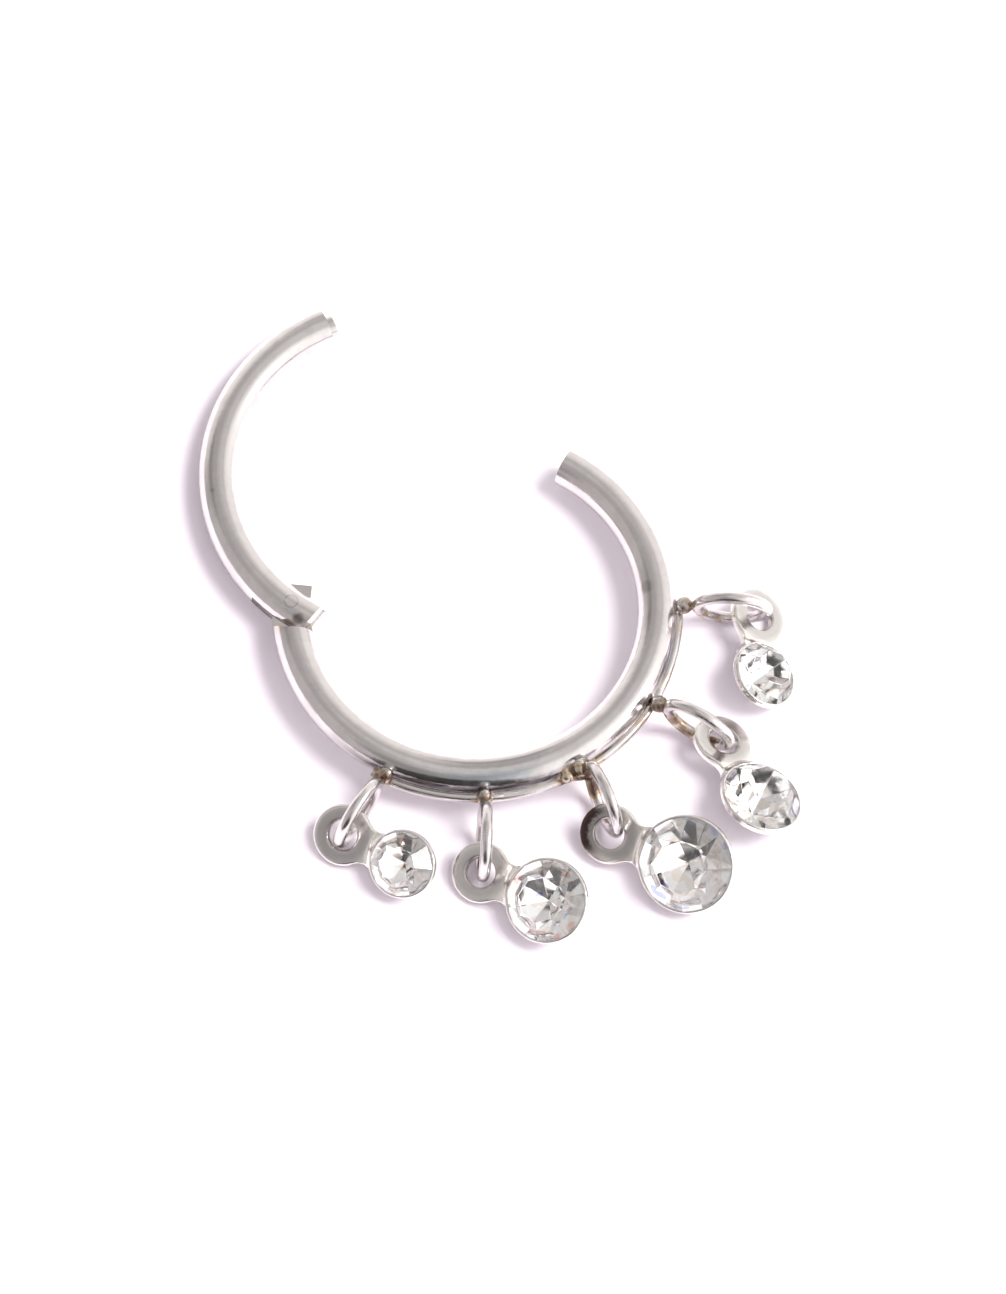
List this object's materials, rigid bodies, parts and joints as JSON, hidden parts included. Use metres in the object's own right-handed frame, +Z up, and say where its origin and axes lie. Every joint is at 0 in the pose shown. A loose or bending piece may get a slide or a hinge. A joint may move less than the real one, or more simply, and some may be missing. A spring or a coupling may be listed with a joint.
{
  "type": "hinged clicker ring with crystal charms",
  "caption": "Hinged body-jewellery ring of round wire, lying open, with crystal drop charms on jump rings soldered along its outside.",
  "frame": {"origin": "centre of the hoop's circle, on the middle line of the main wire", "axes": "+Z up from the surface it lies on, +X from the hinge across the hoop, the charms towards -Y and +X, the gate opening towards +Y"},
  "size_m": [0.0185, 0.021, 0.0027],
  "materials": {
    "steel": "polished surgical steel, with straw-coloured heat tint at the solder joints",
    "setting": "rhodium-plated brass, stamped and lightly tumbled",
    "crystal": "clear faceted glass with a silvered back"
  },
  "bodies": {
    "ring": {"hoop": "steel", "charm_setting_1": "setting", "charm_setting_2": "setting", "charm_setting_3": "setting", "charm_setting_4": "setting", "charm_setting_5": "setting", "crystal_1": "crystal", "crystal_2": "crystal", "crystal_3": "crystal", "crystal_4": "crystal", "crystal_5": "crystal"},
    "gate": {"gate": "steel", "hinge_pin": "steel"}
  },
  "joints": [
    {"name": "gate_hinge", "type": "hinge", "parent": "ring", "child": "gate", "pos_m": [-0.0056, 0, -0.00013], "axis": [-0.0238, 0.0375, 0.999], "range_deg": [-53.4, 30]}
  ]
}
